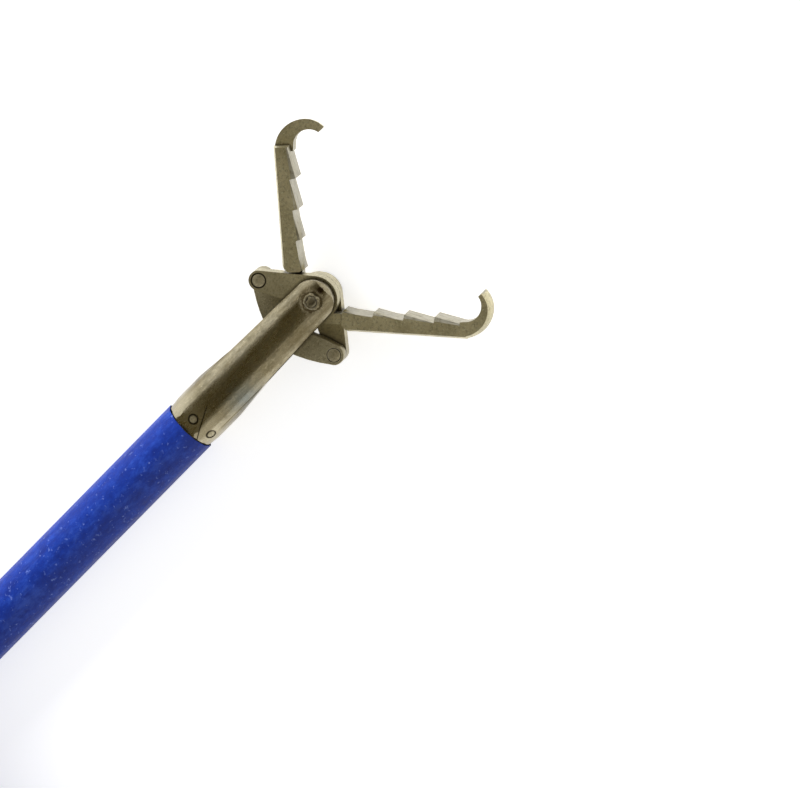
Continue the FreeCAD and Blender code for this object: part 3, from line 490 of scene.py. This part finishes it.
# Painted shade on the tooth faces, chosen by the way they face, with file marks.
tooth_face_shade = mixed(tree, (0.48, 0.45, 0.35), (0.24, 0.21, 0.13),
                   ramp(tree, file_marks, [(0.46, 0.0), (0.60, 0.85)]))
colour = mixed(tree, colour, tooth_face_shade,
               ramp(tree, arithmetic(tree, "MULTIPLY", inward, -1.0), [(0.35, 0.0), (0.75, 0.9)]))
tree.links.new(darker_tails(tree, place, colour), shader.inputs["Base Color"])
for name, node, body in (("jaw_turned_up", "jaw_lower", "lower_jaw"),
                         ("jaw_turned_down", "jaw_upper", "upper_jaw")):
    jaw = shaded(fresh_copy(name, node))
    finished(jaw, jaw_steel, "stainless_jaw", body, node)

# Links. Two flat links with round ends, stamped from grainy plate, which join the tails of the jaws
# to the pull rod.
link_steel, tree, shader, place, colour = satin_steel(
    "link_steel", 10, (0.520, 0.470, 0.310), (0.320, 0.280, 0.170), 0.36, (1, 1, 1), 0.000018, 0.75)
# Painted shade in a ring round each tail pin.
tree.links.new(rivet_gap_shade(tree, place, colour), shader.inputs["Base Color"])
for name, node, body in (("link_over", "link_upper", "upper_link"),
                         ("link_under", "link_lower", "lower_link")):
    link = softened(fresh_copy(name, node), 0.00004, 2)
    finished(link, link_steel, "stainless_link", body, node)

# Pins, plugs and pull rod. Turned stainless pins with their ends welded over, and the round rod that
# pulls the links.
pin_steel, tree, shader, place, colour = satin_steel(
    "pin_steel", 7, (0.560, 0.500, 0.335), (0.350, 0.305, 0.190), 0.36, (1, 1, 1), 0.000014, 0.8)
crater = arithmetic(tree, "ADD", distance_from(tree, place, millimetres("pivot_pin"), (1, 1, 0)),
                    arithmetic(tree, "MULTIPLY", noise(tree, place, 6, 3), 0.2))
tree.links.new(mixed(tree, colour, (0.10, 0.082, 0.045), ramp(tree, crater, [(0.22, 0.9), (0.36, 0.0)])),
               shader.inputs["Base Color"])
for name, node, body, round_edge in (
        ("pivot", "pivot_pin", "frame", 0.00003), ("plugs", "weld_plugs", "frame", 0.00002),
        ("tail_rivet_up", "tail_pin_upper", "upper_jaw", 0.00003),
        ("tail_rivet_down", "tail_pin_lower", "lower_jaw", 0.00003),
        ("pull_rod", "drive_rod", "drive", 0.00002), ("pull_pin", "drive_pin", "drive", 0.00002),
        ("inner_ferrule", "coil_ferrule", "frame", 0.00002), ("sleeve", "sheath_ferrule", "frame", 0.0001),
        ("grub_screw", "clamp_screw", "slider", 0.00008)):
    piece = softened(fresh_copy(name, node), round_edge, 2)
    finished(piece, pin_steel, "stainless_pins", body, node)

# Weld bead. The upper end of the jaw pivot is run over with weld, which leaves a lumpy ring with a dark
# crater inside it. The lower end is ground flush.
weld_metal, tree, shader, place, colour = satin_steel(
    "weld_metal", 8, (0.420, 0.370, 0.240), (0.200, 0.165, 0.090), 0.40, (1, 1, 1), 0.000020, 0.85)
pin_low, pin_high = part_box("pivot_pin")
bead_place = ((pin_low.x + pin_high.x) / 2, (pin_low.y + pin_high.y) / 2, pin_high.z)
bead_radius = 0.00027
bead_thickness = 0.00006
bpy.ops.object.select_all(action="DESELECT")
bpy.ops.mesh.primitive_torus_add(location=bead_place, major_segments=64, minor_segments=14,
                                 major_radius=bead_radius, minor_radius=bead_thickness)
bead = bpy.context.active_object
bead.name = "weld_bead"
bpy.ops.object.transform_apply(location=True, rotation=True, scale=True)
lumps = bpy.data.textures.new("lumps", "CLOUDS")
lumps.noise_scale = 0.00016
lumps.noise_depth = 2
melted = bead.modifiers.new("melted", "DISPLACE")
melted.texture = lumps
melted.texture_coords = "LOCAL"
melted.strength = 0.00020
melted.mid_level = 0.5
bpy.ops.object.modifier_apply(modifier="melted")
bpy.ops.object.shade_smooth()
crater = distance_from(tree, place, millimetres("pivot_pin"), (1, 1, 0))
tree.links.new(mixed(tree, colour, steel_dark_and_shade, ramp(tree, crater, [(0.22, 0.9), (0.29, 0.0)])),
               shader.inputs["Base Color"])
finished(bead, weld_metal, "stainless_pins", "frame")

# Wires. Drawn stainless wire: the pull wire's two ends, the coil behind the clevis, and the stiff tube
# in the handle that the wire is clamped in.
wire_steel, tree, shader, place, colour = satin_steel(
    "wire_steel", 9, (0.60, 0.60, 0.57), (0.46, 0.45, 0.42), 0.26, (0.1, 1, 1), 0.000004)
for name, node, body in (("wire_front", "drive_wire_distal", "drive"), ("coil", "spring_coil", "frame"),
                         ("stiff_tube", "hypotube", "slider"), ("wire_back", "drive_wire_proximal", "slider")):
    piece = softened(fresh_copy(name, node), 0.00002, 2)
    finished(piece, wire_steel, "stainless_wire", body, node)

# Handle. A white moulded barrel with a long slot, a blue nose cap, a ribbed rubber sleeve over the
# sheath, a blue spool for two fingers and a blue ring for the thumb.


def moulded(name, colour, dark, rough, grain, coat=0.0):
    """Moulded plastic: a faint spark-eroded grain and slight clouds in the colour."""
    material, tree, shader, place = new_material(name)
    cloud = noise(tree, place, 0.12, 3)
    fine = noise(tree, place, grain, 4, 0.6)
    base = ramp(tree, cloud, [(0.3, dark), (0.7, colour)])
    base = mixed(tree, base, tuple(c * 0.8 for c in dark), ramp(tree, fine, [(0.5, 0.0), (0.85, 0.35)]))
    tree.links.new(base, shader.inputs["Base Color"])
    tree.links.new(ramp(tree, fine, [(0.3, rough - 0.06), (0.75, rough + 0.08)]), shader.inputs["Roughness"])
    shader.inputs["Coat Weight"].default_value = coat
    shader.inputs["Coat Roughness"].default_value = 0.25
    bumped(tree, shader, fine, 0.00002, 0.5)
    return material


blue_plastic = moulded("blue_plastic", (0.022, 0.075, 0.400), (0.014, 0.050, 0.310), 0.38, 4, 0.15)
white_plastic = moulded("white_plastic", (0.80, 0.80, 0.77), (0.74, 0.74, 0.71), 0.42, 4)
rubber = moulded("dark_rubber", (0.035, 0.036, 0.040), (0.022, 0.022, 0.025), 0.68, 5)
for name, node, body, material, slot, round_edge in (
        ("nose", "nose_cap", "frame", blue_plastic, "blue_grip", 0.0004),
        ("barrel", "handle_barrel", "frame", white_plastic, "white_barrel", 0.0004),
        ("ring", "thumb_ring", "frame", blue_plastic, "blue_grip", 0.0012),
        ("relief", "strain_relief", "frame", rubber, "dark_rubber", 0.00025),
        ("spool_upper", "spool_top", "slider", blue_plastic, "blue_grip", 0.0003),
        ("spool_lower", "spool_bottom", "slider", blue_plastic, "blue_grip", 0.0003)):
    piece = softened(fresh_copy(name, node), round_edge, 3)
    finished(piece, material, slot, body, node)

# Brass. The bush that guides the stiff tube, and the block that clamps it in the spool.
brass, tree, shader, place, colour = satin_steel(
    "turned_brass", 5, (0.72, 0.54, 0.25), (0.60, 0.43, 0.19), 0.30, (1, 0.2, 0.2), 0.000006)
for name, node, body, slot in (("bush", "guide_bush", "frame", "brass_bush"),
                               ("clamp_block", "wire_clamp_block", "slider", "brass_block")):
    piece = softened(fresh_copy(name, node), 0.0001, 2)
    finished(piece, brass, slot, body, node)

# Studio. A white floor that keeps a faint shadow, a low soft lamp on the side of the sheath's light
# edge and a weak one across from it. Metal sees the white too, and a dark card over the tool and a grey
# one beside it, which lay the clevis's dark band between two light ones.


def staged_plane(name, size, place, normal):
    """A flat panel of the studio, which isn't part of the tool."""
    bpy.ops.object.select_all(action="DESELECT")
    bpy.ops.mesh.primitive_plane_add(size=size)
    panel = bpy.context.active_object
    panel.name = name
    facing = Vector(normal).normalized().to_track_quat("Z", "Y").to_matrix().to_4x4()
    panel.matrix_world = Matrix.Translation(place) @ facing
    return panel


def background_rays(tree):
    """One for the rays that see the white background, from the camera, off metal and through glass."""
    path = tree.nodes.new("ShaderNodeLightPath")
    seen = arithmetic(tree, "ADD", path.outputs["Is Camera Ray"], path.outputs["Is Glossy Ray"])
    seen = arithmetic(tree, "ADD", seen, path.outputs["Is Transmission Ray"])
    return arithmetic(tree, "MINIMUM", seen, 1.0)


def card(name, size, long, place, normal, colour):
    """A card that only the metal sees, so many times longer than wide."""
    panel = staged_plane(name, size, place, normal)
    panel.matrix_world = panel.matrix_world @ Matrix.Diagonal((long, 1, 1, 1))
    panel.visible_camera = False
    panel.visible_diffuse = False
    panel.visible_transmission = False
    panel.visible_shadow = False
    paint, tree = new_material(name)[:2]
    glow = tree.nodes.new("ShaderNodeEmission")
    glow.inputs["Color"].default_value = colour + (1,)
    tree.links.new(glow.outputs[0], tree.nodes["Material Output"].inputs["Surface"])
    panel.data.materials.append(paint)


floor_height = -0.00116
white_share = 0.62
floor = staged_plane("floor", 6, (0, 0, floor_height), (0, 0, 1))
floor_paint, tree, shader, place = new_material("floor_paint")
shader.inputs["Base Color"].default_value = (0.9, 0.9, 0.9, 1)
shader.inputs["Roughness"].default_value = 1
shader.inputs["Specular IOR Level"].default_value = 0
glow = tree.nodes.new("ShaderNodeEmission")
glow.inputs["Color"].default_value = (1, 1, 1, 1)
glow.inputs["Strength"].default_value = white_share
both = tree.nodes.new("ShaderNodeAddShader")
choice = tree.nodes.new("ShaderNodeMixShader")
tree.links.new(background_rays(tree), choice.inputs[0])
tree.links.new(shader.outputs[0], both.inputs[0])
tree.links.new(glow.outputs[0], both.inputs[1])
tree.links.new(shader.outputs[0], choice.inputs[1])
tree.links.new(both.outputs[0], choice.inputs[2])
tree.links.new(choice.outputs[0], tree.nodes["Material Output"].inputs["Surface"])
floor.data.materials.append(floor_paint)

world = bpy.data.worlds.new("studio")
world.use_nodes = True
bpy.context.scene.world = world
tree = world.node_tree
world_light = 0.42
level = tree.nodes.new("ShaderNodeMapRange")
level.inputs["To Min"].default_value = world_light
level.inputs["To Max"].default_value = 1.0
tree.links.new(background_rays(tree), level.inputs["Value"])
tree.links.new(level.outputs["Result"], tree.nodes["Background"].inputs["Strength"])
tree.nodes["Background"].inputs["Color"].default_value = (1, 1, 1, 1)
card("dark_card", 0.46, 2.4, (0.10, 0.11, 0.35), (0, 0, -1), (0.105, 0.085, 0.035))
card("grey_card", 0.90, 1.0, (0.05, -0.42, 0.32), (0, 1, -0.5), (0.60, 0.57, 0.50))

for name, place, size, power in (("key", (-0.02, 0.62, 0.2), 0.4, 4.2),
                                 ("fill", (0.25, -0.45, 0.35), 0.4, 0.4)):
    lamp_data = bpy.data.lights.new(name, "AREA")
    lamp_data.shape = "SQUARE"
    lamp_data.size = size
    lamp_data.energy = power
    lamp = bpy.data.objects.new(name, lamp_data)
    facing = Vector(place).to_track_quat("Z", "Y").to_matrix().to_4x4()
    lamp.matrix_world = Matrix.Translation(place) @ facing
    lamp.visible_glossy = False
    bpy.context.scene.collection.objects.link(lamp)
